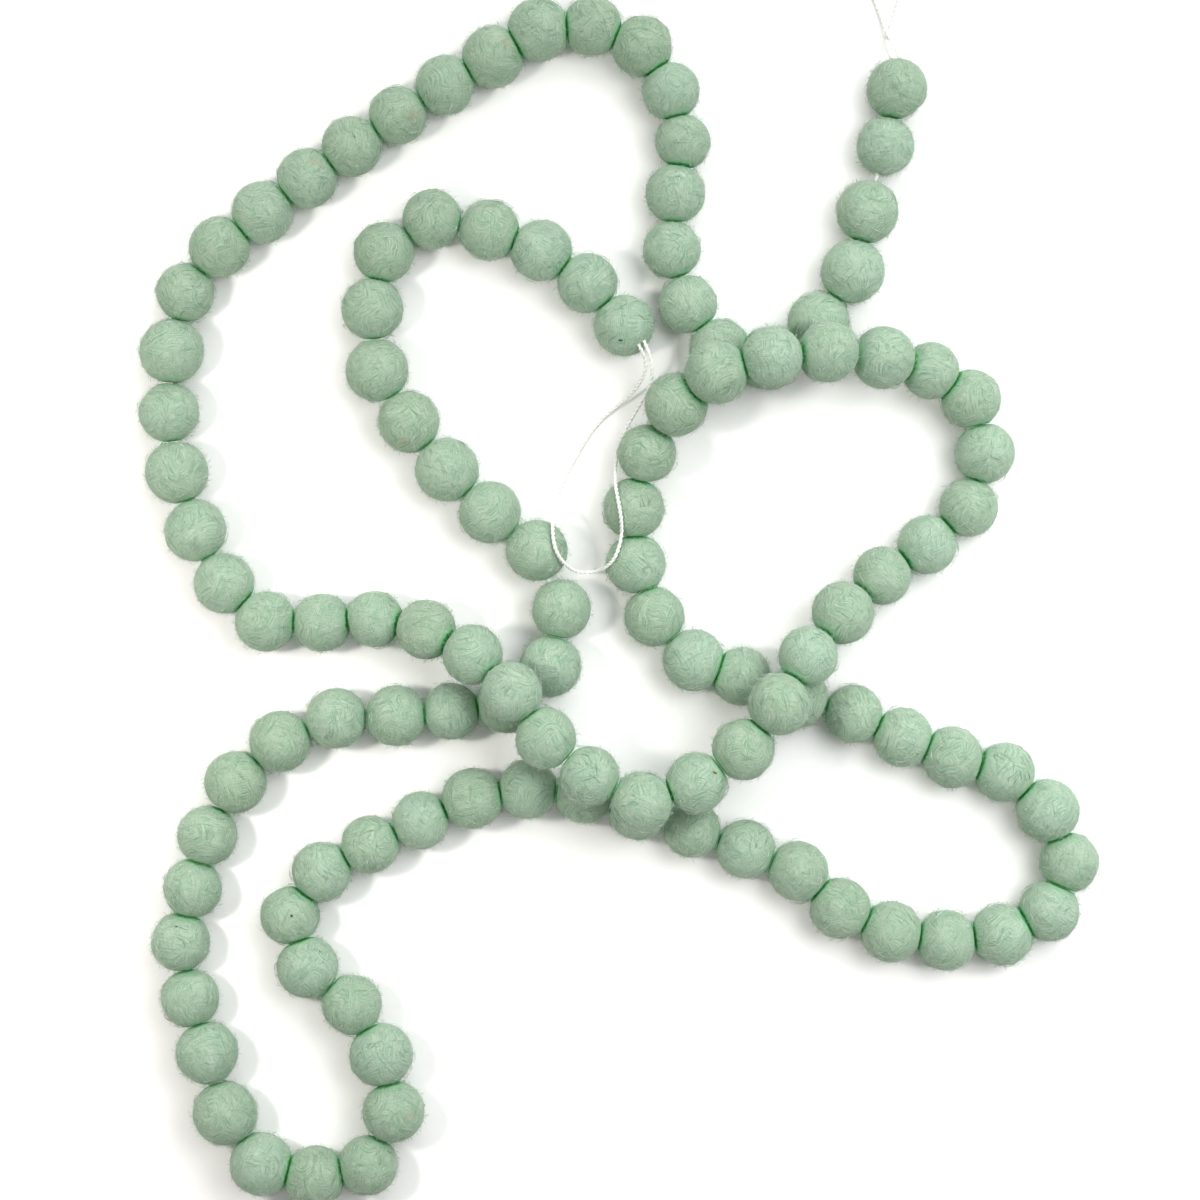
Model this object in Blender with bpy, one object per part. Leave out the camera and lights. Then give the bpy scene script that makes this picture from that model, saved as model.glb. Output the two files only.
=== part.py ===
"""A felt ball garland, lying in loose loops on a flat surface.

Solid balls of felted wool are threaded on one cotton string and pushed up against each other.
The string is doubled at each end into a loop to hang the garland by. The strand crosses over
itself in two stretches, where its balls lie on those beneath.
"""

import math
import random
from collections import namedtuple

import bmesh
import bpy
from mathutils import Vector

MM = 0.001
UP = Vector((0, 0, 1))

# Felt balls
BALL_DIAMETER = 20.2 * MM
SIZE_SPREAD = 0.026  # standard deviation of a hand-rolled ball's size, as a share of it
SIZE_SEED = 356004
FLOOR_FLAT = 0.5 * MM  # how deep a resting ball is flattened by its own weight
LEAST_PRESS = 0.4 * MM  # how far two neighbours at least are pressed into each other
NEEDLE_HOLE_RADIUS = 1.2 * MM
STRING_GAPS = (2, 103)  # the string shows between each of these balls and the next
BALL_SIDES = 8
SHOULDER = math.radians(60)  # from the string's line to the ball's two outer rings of corners
FELT_GREEN = (0.40, 0.57, 0.42, 1)

# How the strand lies: the balls between two anchors are evenly spaced on an arc.
# x and y in mm; bulge in mm is how far the arc bows out to the left on the way to the next anchor.
Anchor = namedtuple("Anchor", "ball x y bulge")
ANCHORS = (
    Anchor(1, 92.5, 170.5, 0),
    Anchor(2, 88.5, 151.5, 0),
    Anchor(3, 82.5, 129.5, 8),
    Anchor(6, 49.5, 80.5, 0),
    Anchor(7, 33.5, 83.5, 7),
    Anchor(10, 18.5, 135.5, -7),
    Anchor(13, 7.5, 184.5, -9),
    Anchor(16, -42.5, 181, -2.5),
    Anchor(22, -133.5, 117.5, 0),
    Anchor(23, -145, 102.5, -11),
    Anchor(28, -132, 5.5, -6.5),
    Anchor(30, -99.5, -7.5, 9.5),
    Anchor(34, -35.5, -30, -5),
    Anchor(37, 7, -66, -6),
    Anchor(40, 52, -34, 5),
    Anchor(44, 102.5, 18.5, -11),
    Anchor(47, 117, 67, -3),
    Anchor(49, 87, 80, -3.5),
    Anchor(52, 31.5, 74.5, 0),
    Anchor(53, 18.5, 64.5, -10.5),
    Anchor(57, 11.5, -5.5, 0),
    Anchor(58, 24.5, -20, 0),
    Anchor(59, 40.5, -25.5, -0.5),
    Anchor(61, 78, -38, -1.5),
    Anchor(64, 128.5, -57.5, 4),
    Anchor(66, 150, -87.5, 6),
    Anchor(68, 127.5, -111.5, 10),
    Anchor(72, 59.5, -90.5, -1),
    Anchor(75, 6, -70.5, -9),
    Anchor(79, -66.5, -73.5, -0.5),
    Anchor(81, -99.5, -90.5, -8.5),
    Anchor(83, -104, -122.5, 7),
    Anchor(86, -75.5, -170.5, 0),
    Anchor(87, -84, -188.5, 4),
    Anchor(89, -119.5, -188, 3.5),
    Anchor(91, -137.5, -151, 1.5),
    Anchor(93, -146.5, -114, 0.5),
    Anchor(95, -137.5, -78.5, 13.5),
    Anchor(99, -74.5, -38.5, -0.5),
    Anchor(101, -38, -34.5, -6.5),
    Anchor(103, -19.5, -3, 0),
    Anchor(104, -27.5, 16.5, 4.5),
    Anchor(108, -81, 76.5, 0),
    Anchor(109, -82.5, 97, 15.5),
    Anchor(112, -43.5, 123.5, 5),
    Anchor(115, 1.5, 91.5, 0),
)
OVERPASSES = ((33, 42), (49, 53))  # first and last ball of each stretch that crosses on top
SAG = 1.2 * MM  # how far a ball hangs below the middle of its neighbours on the tight string
SETTLING_ROUNDS = 60

# Solids
BALLS_PER_SOLID = 3
PIECE_GAP = 0.3 * MM

# Hanging loops of string, each a closed run from its end ball back to it; x, y and z in mm.
STRING_DIAMETER = 0.8 * MM
STRING_STEP = 4.4 * MM  # between the points of the tube
STRING_WHITE = (0.90, 0.89, 0.85, 1)
TOP_LOOP_ROUTE = (
    (92.9, 181.3, 10.4),
    (92.2, 184.0, 7.6),
    (91.3, 187.0, 4.6),
    (90.3, 189.5, 2.8),
    (89.2, 192.0, 1.9),
    (88.2, 195.0, 1.1),
    (87.0, 198.5, 0.6),
    (85.4, 202.5, 0.5),
    (82.4, 210.0, 0.5),
    (79.0, 220.0, 0.5),
    (76.6, 230.5, 0.5),
    (75.6, 241.0, 0.5),
    (76.4, 251.0, 0.5),
    (79.6, 260.0, 0.5),
    (84.8, 265.6, 0.5),
    (91.0, 266.4, 0.5),
    (96.0, 262.6, 0.5),
    (98.8, 255.5, 0.5),
    (99.8, 246.5, 0.5),
    (99.4, 236.5, 0.5),
    (98.2, 226.0, 0.5),
    (96.6, 215.5, 0.5),
    (94.8, 207.0, 0.5),
    (93.2, 200.0, 0.5),
    (91.9, 195.3, 0.5),
    (90.7, 191.3, 0.6),
    (89.9, 188.0, 2.2),
    (89.8, 184.5, 5.6),
    (90.4, 181.2, 9.6),
)
END_LOOP_ROUTE = (
    (8.4, 84.8, 15.5),
    (9.8, 81.2, 14.0),
    (10.7, 76.8, 12.6),
    (10.2, 72.0, 11.2),
    (8.1, 67.7, 10.2),
    (5.4, 63.0, 9.4),
    (2.4, 57.7, 8.9),
    (0.2, 52.3, 9.0),
    (-1.0, 47.3, 10.0),
    (-1.5, 42.0, 13.0),
    (-1.3, 37.3, 17.7),
    (-0.5, 32.3, 20.7),
    (0.3, 27.3, 20.8),
    (0.5, 22.3, 18.0),
    (-0.3, 17.7, 17.3),
    (-1.8, 14.0, 17.6),
    (-4.3, 11.3, 14.7),
    (-7.9, 9.7, 9.0),
    (-11.9, 9.2, 7.6),
    (-15.6, 10.0, 10.0),
    (-18.6, 12.3, 15.8),
    (-20.8, 15.7, 19.2),
    (-21.9, 19.7, 19.6),
    (-22.2, 24.3, 17.2),
    (-21.9, 28.7, 11.6),
    (-21.3, 32.7, 5.8),
    (-20.3, 36.3, 1.9),
    (-18.9, 40.0, 0.7),
    (-16.6, 44.7, 0.5),
    (-13.6, 50.0, 0.5),
    (-10.3, 55.3, 0.5),
    (-6.6, 60.0, 0.5),
    (-2.3, 63.9, 1.2),
    (2.2, 67.5, 3.6),
    (5.9, 71.5, 7.0),
    (8.4, 76.2, 10.9),
    (8.2, 80.4, 13.6),
    (6.7, 83.6, 15.6),
)


def felt_material(name, colour, roughness):
    """A plain matt fibre finish."""
    material = bpy.data.materials.new(name)
    material.use_nodes = True
    shader = material.node_tree.nodes["Principled BSDF"]
    shader.inputs["Base Color"].default_value = colour
    shader.inputs["Roughness"].default_value = roughness
    shader.inputs["Metallic"].default_value = 0
    return material


def on_arc(start, end, bulge, share):
    """The point at this share of the way along the arc from start to end."""
    chord = end - start
    if not bulge:
        return start + chord * share
    left = Vector((-chord.y, chord.x)).normalized()
    half_turn = 2 * math.atan(2 * bulge / chord.length)
    radius = chord.length / (2 * math.sin(half_turn))
    angle = half_turn * (2 * share - 1)
    along = chord.normalized() * radius * math.sin(angle)
    outwards = left * radius * (math.cos(angle) - math.cos(half_turn))
    return (start + end) / 2 + along + outwards


def ball_places():
    """Where each ball stands on the floor, in strand order."""
    places = []
    for here, there in zip(ANCHORS, ANCHORS[1:]):
        start = Vector((here.x, here.y)) * MM
        end = Vector((there.x, there.y)) * MM
        steps = there.ball - here.ball
        places += [on_arc(start, end, here.bulge * MM, step / steps) for step in range(steps)]
    return places + [end]


def resting_heights(places, radii):
    """Heights of the balls' middles: on the floor, or raised where the strand crosses over."""
    rests = [radius - FLOOR_FLAT for radius in radii]
    lifts = [0.0] * len(places)
    over = {ball - 1 for first, last in OVERPASSES for ball in range(first, last + 1)}
    for upper in over:
        for lower in set(range(len(places))) - over:
            apart = (places[upper] - places[lower]).length
            reach = radii[upper] + radii[lower] + PIECE_GAP
            if abs(upper - lower) > 1 and apart < reach:
                cleared = rests[lower] + math.sqrt(reach**2 - apart**2) - rests[upper]
                lifts[upper] = max(lifts[upper], cleared)
    for _ in range(SETTLING_ROUNDS):
        for ball in range(1, len(places) - 1):
            held_up = (lifts[ball - 1] + lifts[ball + 1]) / 2 - SAG
            lifts[ball] = max(lifts[ball], held_up)
    return [rest + lift for rest, lift in zip(rests, lifts)]


def balls_on_string():
    """Each ball's middle and radius. Neighbours touch, except across the two string gaps."""
    places = ball_places()
    rolled = random.Random(SIZE_SEED)
    radii = [BALL_DIAMETER / 2 * rolled.gauss(1, SIZE_SPREAD) for _ in places]
    for _ in range(3):
        heights = resting_heights(places, radii)
        centres = [place.to_3d() + UP * height for place, height in zip(places, heights)]
        for ball in range(len(places) - 1):
            if ball + 1 in STRING_GAPS:
                continue
            apart = (centres[ball + 1] - centres[ball]).length
            short = apart + LEAST_PRESS - radii[ball] - radii[ball + 1]
            radii[ball] += max(short, 0) / 2
            radii[ball + 1] += max(short, 0) / 2
    heights = resting_heights(places, radii)
    centres = [place.to_3d() + UP * height for place, height in zip(places, heights)]
    return centres, radii


def joint_rings(centres, radii, ball):
    """Middle, line and radius of the ring or rings where a ball meets the next one."""
    line = centres[ball + 1] - centres[ball]
    apart = line.length
    line.normalize()
    first, second = radii[ball], radii[ball + 1]
    if apart >= first + second:
        string = STRING_DIAMETER / 2
        ends = (math.sqrt(first**2 - string**2), apart - math.sqrt(second**2 - string**2))
        return [(centres[ball] + line * end, line, string) for end in ends]
    plane = (apart**2 + first**2 - second**2) / (2 * apart)
    return [(centres[ball] + line * plane, line, math.sqrt(first**2 - plane**2))]


def string_end_ring(centre, outwards, radius):
    """The flat spot round the needle hole of a ball that ends the strand."""
    depth = math.sqrt(radius**2 - NEEDLE_HOLE_RADIUS**2)
    return centre + outwards * depth, NEEDLE_HOLE_RADIUS


def solid_rings(centres, radii, first, last):
    """All rings of corners along one solid of joined balls, as (middle, line, radius)."""
    rings = []
    if first > 0:
        middle, line, radius = joint_rings(centres, radii, first - 1)[-1]
        rings.append((middle + line * PIECE_GAP / 2, line, radius))
    else:
        line = (centres[1] - centres[0]).normalized()
        middle, radius = string_end_ring(centres[0], -line, radii[0])
        rings.append((middle, line, radius))
    for ball in range(first, last + 1):
        before = centres[max(ball - 1, 0)]
        after = centres[min(ball + 1, len(centres) - 1)]
        line = (after - before).normalized()
        for turn in (-math.cos(SHOULDER), 0, math.cos(SHOULDER)):
            ring_radius = radii[ball] * math.sqrt(1 - turn**2)
            rings.append((centres[ball] + line * radii[ball] * turn, line, ring_radius))
        if ball < last:
            rings += joint_rings(centres, radii, ball)
    if last < len(centres) - 1:
        middle, line, radius = joint_rings(centres, radii, last)[0]
        rings.append((middle - line * PIECE_GAP / 2, line, radius))
    else:
        line = (centres[-1] - centres[-2]).normalized()
        middle, radius = string_end_ring(centres[-1], line, radii[-1])
        rings.append((middle, line, radius))
    return rings


def add_ring(mesh, middle, line, radius):
    """Corners evenly round the string's line, the first one uppermost."""
    side = line.cross(UP).normalized()
    top = side.cross(line)
    turns = [2 * math.pi * corner / BALL_SIDES for corner in range(BALL_SIDES)]
    return [
        mesh.verts.new(middle + (top * math.cos(turn) + side * math.sin(turn)) * radius)
        for turn in turns
    ]


def flatten_on_floor(mesh):
    """Cuts off what is below the floor, which leaves a small flat under each resting ball."""
    everything = mesh.verts[:] + mesh.edges[:] + mesh.faces[:]
    cut = bmesh.ops.bisect_plane(
        mesh, geom=everything, plane_co=(0, 0, 0), plane_no=(0, 0, -1), clear_outer=True
    )
    rim = [part for part in cut["geom_cut"] if isinstance(part, bmesh.types.BMEdge)]
    bmesh.ops.holes_fill(mesh, edges=rim)
    for vert in cut["geom_cut"]:
        if isinstance(vert, bmesh.types.BMVert):
            vert.co.z = 0


def add_balls(centres, radii, first, last, material):
    """One closed solid of the balls from first to last, joined where they touch."""
    mesh = bmesh.new()
    rings = [add_ring(mesh, *ring) for ring in solid_rings(centres, radii, first, last)]
    for near, far in zip(rings, rings[1:]):
        for corner in range(BALL_SIDES):
            after = (corner + 1) % BALL_SIDES
            mesh.faces.new((near[corner], near[after], far[after], far[corner]))
    mesh.faces.new(rings[0][::-1])
    mesh.faces.new(rings[-1])
    flatten_on_floor(mesh)
    bmesh.ops.recalc_face_normals(mesh, faces=mesh.faces[:])
    middle = centres[(first + last) // 2]
    bmesh.ops.translate(mesh, verts=mesh.verts[:], vec=-middle)
    name = f"felt_balls_{first + 1:03d}_{last + 1:03d}"
    data = bpy.data.meshes.new(name)
    mesh.to_mesh(data)
    mesh.free()
    data.shade_smooth()
    data.materials.append(material)
    balls = bpy.data.objects.new(name, data)
    balls.location = middle
    bpy.context.scene.collection.objects.link(balls)


def smooth_route(route, step):
    """Points about a step apart on a smooth curve through the route's own points."""
    points = [Vector(point) * MM for point in route]
    points = [2 * points[0] - points[1]] + points + [2 * points[-1] - points[-2]]
    curve = []
    for before, start, end, after in zip(points, points[1:], points[2:], points[3:]):
        parts = 12
        for part in range(parts):
            share = part / parts
            bend = (
                2 * start
                + (end - before) * share
                + (2 * before - 5 * start + 4 * end - after) * share**2
                + (3 * start - before - 3 * end + after) * share**3
            )
            curve.append(bend / 2)
    curve.append(points[-2])
    lengths = [0.0]
    for start, end in zip(curve, curve[1:]):
        lengths.append(lengths[-1] + (end - start).length)
    count = round(lengths[-1] / step)
    evenly = []
    for number in range(count + 1):
        wanted = lengths[-1] * number / count
        place = next((i for i, length in enumerate(lengths[1:]) if length >= wanted), len(curve) - 2)
        share = (wanted - lengths[place]) / (lengths[place + 1] - lengths[place])
        evenly.append(curve[place].lerp(curve[place + 1], min(share, 1)))
    return evenly


def add_string(name, route, material):
    """A limp cotton string as a round tube with closed ends."""
    points = smooth_route(route, STRING_STEP)
    curve = bpy.data.curves.new(name, "CURVE")
    curve.dimensions = "3D"
    curve.bevel_depth = STRING_DIAMETER / 2
    curve.bevel_resolution = 2
    curve.use_fill_caps = True
    line = curve.splines.new("POLY")
    line.points.add(len(points) - 1)
    for point, place in zip(line.points, points):
        point.co = (*place, 1)
    curve.materials.append(material)
    bpy.context.scene.collection.objects.link(bpy.data.objects.new(name, curve))


for leftover in list(bpy.data.objects):
    bpy.data.objects.remove(leftover)

felt = felt_material("felted_wool", FELT_GREEN, 0.95)
cotton = felt_material("twisted_cotton", STRING_WHITE, 0.8)

ball_centres, ball_radii = balls_on_string()
for first_ball in range(0, len(ball_centres), BALLS_PER_SOLID):
    last_ball = min(first_ball + BALLS_PER_SOLID, len(ball_centres)) - 1
    add_balls(ball_centres, ball_radii, first_ball, last_ball, felt)

add_string("hanging_loop_top", TOP_LOOP_ROUTE, cotton)
add_string("hanging_loop_end", END_LOOP_ROUTE, cotton)
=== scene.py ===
"""A felt ball garland in pale mint, laid down in loose loops and seen from straight above."""

import math
import random
from collections import namedtuple

import bmesh
import bpy
import numpy as np
from mathutils import Matrix, Quaternion, Vector


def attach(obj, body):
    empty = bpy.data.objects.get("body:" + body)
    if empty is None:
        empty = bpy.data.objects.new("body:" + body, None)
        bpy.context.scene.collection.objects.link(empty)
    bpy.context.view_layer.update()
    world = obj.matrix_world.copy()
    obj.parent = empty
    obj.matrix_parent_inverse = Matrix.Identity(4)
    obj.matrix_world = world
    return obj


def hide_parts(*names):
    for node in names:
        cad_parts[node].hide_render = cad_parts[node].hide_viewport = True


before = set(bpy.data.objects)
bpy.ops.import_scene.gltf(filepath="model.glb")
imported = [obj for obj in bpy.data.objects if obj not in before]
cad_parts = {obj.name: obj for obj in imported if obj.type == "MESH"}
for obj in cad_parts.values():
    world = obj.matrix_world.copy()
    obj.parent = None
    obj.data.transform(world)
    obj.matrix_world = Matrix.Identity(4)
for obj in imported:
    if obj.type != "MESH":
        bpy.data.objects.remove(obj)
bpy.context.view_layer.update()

# ---------------------------------------------------------------------------------------------
# Camera. It looks straight down on the garland from one metre, a little to the left of its
# middle, through a long lens that takes in 400 mm at the height of the balls' middles.

MM = 0.001
CAMERA_HEIGHT = 1.0
CAMERA_LEFT_OF_MIDDLE = 6.6 * MM
VIEW_WIDTH = 0.4
BALL_MIDDLE_HEIGHT = 10 * MM
SENSOR_WIDTH_MM = 36

lens = bpy.data.cameras.new("overhead_camera")
lens.sensor_width = SENSOR_WIDTH_MM
lens.lens = SENSOR_WIDTH_MM * (CAMERA_HEIGHT - BALL_MIDDLE_HEIGHT) / VIEW_WIDTH
lens.clip_start = 0.05
camera = bpy.data.objects.new("overhead_camera", lens)
camera.location = (-CAMERA_LEFT_OF_MIDDLE, 0, CAMERA_HEIGHT)
bpy.context.scene.collection.objects.link(camera)
bpy.context.scene.camera = camera
bpy.context.scene.view_settings.view_transform = "Standard"

# ---------------------------------------------------------------------------------------------
# Hanging loops. A limp white cotton string of two plies, doubled and pulled back into the ball
# at each end of the strand. The top loop lies on the floor; the other hangs over the strand.

PLY_RADIUS = 0.40 * MM
PLY_OFFSET = 0.27 * MM
PLY_SIDES = 8
TWIST_PITCH = 3.4 * MM
STRING_STEP = 0.35 * MM
STRING_INSIDE_BALL = 1.4 * MM
STRING_REST = 0.68 * MM  # the least height of its middle, where it lies on the floor
CURVE_STEPS = 40  # between two points of a route, before the curve is measured out evenly
COTTON_FIBRE = 0.25 * MM
# painted groove shade: a ply is greyest on the side that faces into the string
PLY_GROOVE_SHADE_FACES = (-0.1, 0.7)  # how far out of the string a ply's side faces: all groove, no groove

TOP_LOOP_ROUTE = (
    (0.0929, 0.1813, 0.0104),
    (0.0922, 0.1840, 0.0076),
    (0.0913, 0.1870, 0.0046),
    (0.0903, 0.1895, 0.0028),
    (0.0892, 0.1920, 0.0019),
    (0.0882, 0.1950, 0.0011),
    (0.0870, 0.1985, 0.0006),
    (0.0854, 0.2025, 0.0005),
    (0.0824, 0.2100, 0.0005),
    (0.0790, 0.2200, 0.0005),
    (0.0766, 0.2305, 0.0005),
    (0.0756, 0.2410, 0.0005),
    (0.0764, 0.2510, 0.0005),
    (0.0796, 0.2600, 0.0005),
    (0.0848, 0.2656, 0.0005),
    (0.0910, 0.2664, 0.0005),
    (0.0960, 0.2626, 0.0005),
    (0.0988, 0.2555, 0.0005),
    (0.0998, 0.2465, 0.0005),
    (0.0994, 0.2365, 0.0005),
    (0.0982, 0.2260, 0.0005),
    (0.0966, 0.2155, 0.0005),
    (0.0948, 0.2070, 0.0005),
    (0.0932, 0.2000, 0.0005),
    (0.0919, 0.1953, 0.0005),
    (0.0907, 0.1913, 0.0006),
    (0.0899, 0.1880, 0.0022),
    (0.0898, 0.1845, 0.0056),
    (0.0904, 0.1812, 0.0096),
)
END_LOOP_ROUTE = (
    (0.0084, 0.0848, 0.0155),
    (0.0098, 0.0812, 0.0140),
    (0.0107, 0.0768, 0.0126),
    (0.0102, 0.0720, 0.0112),
    (0.0081, 0.0677, 0.0102),
    (0.0054, 0.0630, 0.0094),
    (0.0024, 0.0577, 0.0089),
    (0.0002, 0.0523, 0.0090),
    (-0.0010, 0.0473, 0.0100),
    (-0.0015, 0.0420, 0.0130),
    (-0.0013, 0.0373, 0.0177),
    (-0.0005, 0.0323, 0.0207),
    (0.0003, 0.0273, 0.0208),
    (0.0005, 0.0223, 0.0180),
    (-0.0003, 0.0177, 0.0173),
    (-0.0018, 0.0140, 0.0176),
    (-0.0043, 0.0113, 0.0147),
    (-0.0079, 0.0097, 0.0090),
    (-0.0119, 0.0092, 0.0076),
    (-0.0156, 0.0100, 0.0100),
    (-0.0186, 0.0123, 0.0158),
    (-0.0208, 0.0157, 0.0192),
    (-0.0219, 0.0197, 0.0196),
    (-0.0222, 0.0243, 0.0172),
    (-0.0219, 0.0287, 0.0116),
    (-0.0213, 0.0327, 0.0058),
    (-0.0203, 0.0363, 0.0019),
    (-0.0189, 0.0400, 0.0007),
    (-0.0166, 0.0447, 0.0005),
    (-0.0136, 0.0500, 0.0005),
    (-0.0103, 0.0553, 0.0005),
    (-0.0066, 0.0600, 0.0005),
    (-0.0023, 0.0639, 0.0012),
    (0.0022, 0.0675, 0.0036),
    (0.0059, 0.0715, 0.0070),
    (0.0084, 0.0762, 0.0109),
    (0.0082, 0.0804, 0.0136),
    (0.0067, 0.0836, 0.0156),
)


def add_node(tree, kind, sockets=(), **settings):
    """A node with its settings, and with its sockets given as values or as other nodes' outputs."""
    made = tree.nodes.new(kind)
    for name, value in settings.items():
        setattr(made, name, value)
    for socket, value in dict(sockets).items():
        if isinstance(value, bpy.types.NodeSocket):
            tree.links.new(value, made.inputs[socket])
        else:
            made.inputs[socket].default_value = value
    return made


def linear(hexadecimal):
    """An sRGB colour such as "A8C2A8" as linear red, green, blue and alpha."""
    parts = [int(hexadecimal[place : place + 2], 16) / 255 for place in (0, 2, 4)]
    return [p / 12.92 if p <= 0.04045 else ((p + 0.055) / 1.055) ** 2.4 for p in parts] + [1]


def new_material(name):
    """An empty material and its tree, with only the output node."""
    material = bpy.data.materials.new(name)
    material.use_nodes = True
    tree = material.node_tree
    tree.nodes.clear()
    return material, tree


def carded_cotton():
    """Combed cotton, spun and plied: soft white and matt, with painted shade making it a little greyer
    in its grooves.
    """
    material, tree = new_material("two_ply_cotton")
    place = add_node(tree, "ShaderNodeTexCoord").outputs["Object"]
    fibres = add_node(
        tree,
        "ShaderNodeTexNoise",
        {"Vector": place, "Scale": 1 / COTTON_FIBRE, "Detail": 3, "Roughness": 0.6},
    )
    shade = add_node(
        tree,
        "ShaderNodeMix",
        {0: fibres.outputs[0], 6: linear("DCDED9"), 7: linear("FCFDFB")},
        data_type="RGBA",
    )
    outward = add_node(tree, "ShaderNodeAttribute", attribute_name="ply_outward").outputs["Fac"]
    lit = add_node(
        tree, "ShaderNodeMapRange", {0: outward, 1: PLY_GROOVE_SHADE_FACES[0], 2: PLY_GROOVE_SHADE_FACES[1]}, clamp=True
    )
    groove_shaded = add_node(
        tree,
        "ShaderNodeMix",
        {0: lit.outputs[0], 6: linear("DFE1DB"), 7: shade.outputs[2]},
        data_type="RGBA",
    )
    bump = add_node(
        tree, "ShaderNodeBump", {"Height": fibres.outputs[0], "Strength": 0.5, "Distance": 0.08 * MM}
    )
    shader = add_node(
        tree,
        "ShaderNodeBsdfPrincipled",
        {
            "Base Color": groove_shaded.outputs[2],
            "Roughness": 0.85,
            "Specular IOR Level": 0.25,
            "Sheen Weight": 0.15,
            "Sheen Roughness": 0.5,
            "Normal": bump.outputs[0],
        },
    )
    add_node(tree, "ShaderNodeOutputMaterial", {"Surface": shader.outputs[0]})
    return material


def smooth_line(route, step):
    """Points a step apart on a smooth curve through the route's own points."""
    points = np.array(route)
    ends = (2 * points[0] - points[1], 2 * points[-1] - points[-2])
    points = np.vstack([ends[0], points, ends[1]])
    shares = np.linspace(0, 1, CURVE_STEPS, endpoint=False)[:, None]
    bends = []
    for before, start, end, after in zip(points, points[1:], points[2:], points[3:]):
        linear_part = 2 * start + (end - before) * shares
        square_part = (2 * before - 5 * start + 4 * end - after) * shares**2
        cubic_part = (3 * start - before - 3 * end + after) * shares**3
        bends.append((linear_part + square_part + cubic_part) / 2)
    curve = np.vstack([*bends, points[-2]])
    lengths = np.concatenate([[0], np.cumsum(np.linalg.norm(np.diff(curve, axis=0), axis=1))])
    wanted = np.linspace(0, lengths[-1], round(lengths[-1] / step) + 1)
    return np.column_stack([np.interp(wanted, lengths, curve[:, axis]) for axis in range(3)])


def lead_into_balls(line, depth):
    """The line made longer at both ends, straight on into the end ball."""
    first = line[0] + (line[0] - line[2]) / np.linalg.norm(line[0] - line[2]) * depth
    last = line[-1] + (line[-1] - line[-3]) / np.linalg.norm(line[-1] - line[-3]) * depth
    return np.vstack([first, line, last])


def plied_string(name, line, material):
    """Two plies wound round each other along a line, as one mesh of two closed tubes."""
    along = np.gradient(line, axis=0)
    along /= np.linalg.norm(along, axis=1)[:, None]
    side = np.cross(along[0], (0.3, 0.2, 1.0))
    sides = []
    for direction in along:
        side = side - direction * (side @ direction)
        side /= np.linalg.norm(side)
        sides.append(side)
    sides = np.array(sides)
    others = np.cross(along, sides)
    reach = np.linalg.norm(np.diff(line, axis=0, prepend=line[:1]), axis=1).cumsum()
    mesh = bmesh.new()
    ply_outward = mesh.verts.layers.float.new("ply_outward")
    for ply in range(2):
        turn = 2 * math.pi * reach / TWIST_PITCH + math.pi * ply
        outwards = sides * np.cos(turn)[:, None] + others * np.sin(turn)[:, None]
        rings = []
        for middle, outward, one, other in zip(line, outwards, sides, others):
            ring = []
            for corner in range(PLY_SIDES):
                angle = 2 * math.pi * corner / PLY_SIDES
                direction = one * math.cos(angle) + other * math.sin(angle)
                point = mesh.verts.new(middle + PLY_OFFSET * outward + PLY_RADIUS * direction)
                point[ply_outward] = direction @ outward
                ring.append(point)
            rings.append(ring)
        for near, far in zip(rings, rings[1:]):
            for corner in range(PLY_SIDES):
                after = (corner + 1) % PLY_SIDES
                mesh.faces.new((near[corner], near[after], far[after], far[corner]))
        mesh.faces.new(rings[0][::-1])
        mesh.faces.new(rings[-1])
    bmesh.ops.recalc_face_normals(mesh, faces=mesh.faces[:])
    data = bpy.data.meshes.new(name)
    mesh.to_mesh(data)
    mesh.free()
    data.shade_smooth()
    data.materials.append(material)
    piece = bpy.data.objects.new(name, data)
    bpy.context.scene.collection.objects.link(piece)
    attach(piece, "root")
    return piece


cotton = carded_cotton()
for node, route, lay in (
    ("hanging_loop_top", TOP_LOOP_ROUTE, "loose"),
    ("hanging_loop_end", END_LOOP_ROUTE, "hanging"),
):
    line = lead_into_balls(smooth_line(route, STRING_STEP), STRING_INSIDE_BALL)
    line[:, 2] = np.maximum(line[:, 2], STRING_REST)
    loop = plied_string(f"{node}_string", line, cotton)
    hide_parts(node)

# ---------------------------------------------------------------------------------------------
# The strand's lie. The balls are pushed up against each other on a tight string, so between
# two anchor balls they sit evenly on a shallow arc. Two stretches cross on top of others.

BALL_DIAMETER = 20.2 * MM
SIZE_SPREAD = 0.026  # as a share of the diameter
SIZE_SEED = 356004
FLOOR_FLAT = 0.5 * MM  # how much lower a ball rests for its flat
LEAST_PRESS = 0.4 * MM  # how far two next balls push into each other, at least
PIECE_GAP = 0.3 * MM  # how far a raised ball clears the one that it lies on
STRING_GAPS = (2, 103)  # the balls after which bare string shows
OVERPASSES = ((33, 42), (49, 53))  # the first and last ball of each stretch that lies on top
SAG = 1.2 * MM  # how far a raised ball hangs below the line between its neighbours, at most
SETTLING_ROUNDS = 60
SIZING_ROUNDS = 3

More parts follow.
